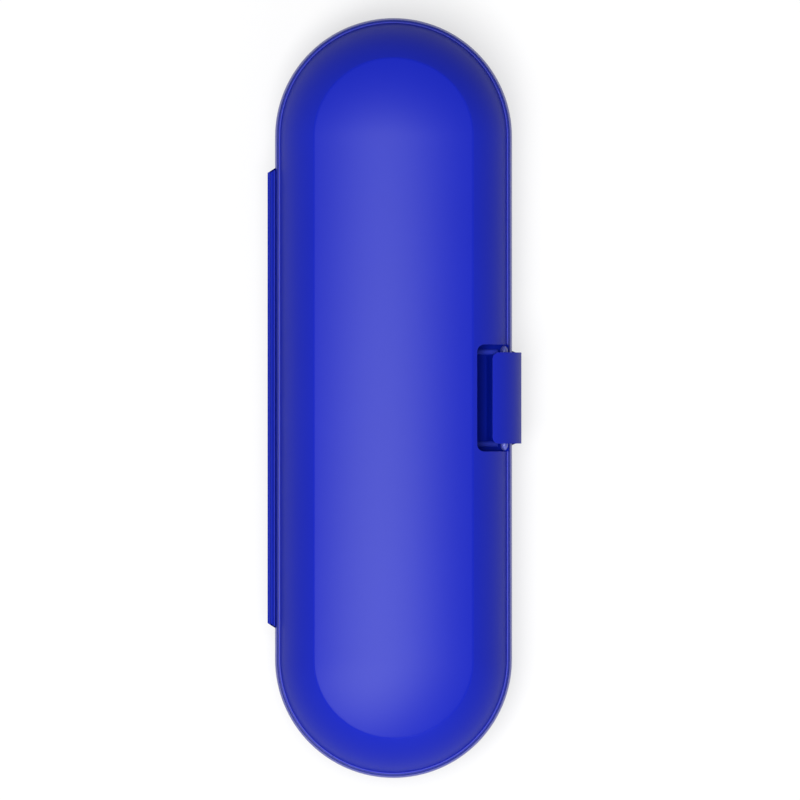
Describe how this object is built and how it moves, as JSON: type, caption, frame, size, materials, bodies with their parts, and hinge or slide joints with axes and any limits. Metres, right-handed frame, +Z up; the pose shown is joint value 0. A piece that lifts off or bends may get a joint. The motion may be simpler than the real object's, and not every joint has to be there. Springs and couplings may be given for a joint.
{
  "type": "electric toothbrush travel case",
  "caption": "Long rounded two-shell plastic case with a living hinge, a swinging latch in a lid pocket, and cradles inside for an electric toothbrush and spare heads.",
  "frame": {"origin": "middle of the flat face that the closed case rests on", "axes": "+X from the hinge to the latch, +Y along the case, +Z up out of the lid"},
  "size_m": [0.0697, 0.2084, 0.042],
  "materials": {
    "shell": "smooth polypropylene with a soft sheen",
    "hinge_strip": "smooth polypropylene",
    "latch": "smooth polypropylene with a soft sheen",
    "bead": "matt, worn a little paler than the shell",
    "pin": "bright drawn wire",
    "insert": "fine matt texture",
    "pad": "matt soft elastomer"
  },
  "bodies": {
    "base": {"base_shell": "shell", "base_hinge_leaf": "hinge_strip", "hinge_web": "hinge_strip", "latch_pin": "pin", "cradle_foot": "insert", "cradle_grip": "insert", "cradle_neck": "insert", "head_peg_block": "insert", "head_clip_upper": "insert", "head_clip_lower": "insert"},
    "lid": {"lid_shell": "shell", "lid_hinge_leaf": "hinge_strip", "catch_bead": "bead", "lid_pad_foot": "pad", "lid_pad_grip": "pad", "lid_pad_neck": "pad"},
    "latch": {"latch_cover": "latch"}
  },
  "joints": [
    {"name": "lid_hinge", "type": "hinge", "parent": "base", "child": "lid", "pos_m": [-0.034, 0, 0.021], "axis": [0, -1, 0], "range_deg": [0, 180], "deforming": ["hinge_web"]},
    {"name": "latch_hinge", "type": "hinge", "parent": "base", "child": "latch", "pos_m": [0.0326, 0, 0.0095], "axis": [0, 1, 0], "range_deg": [0, 110]}
  ]
}
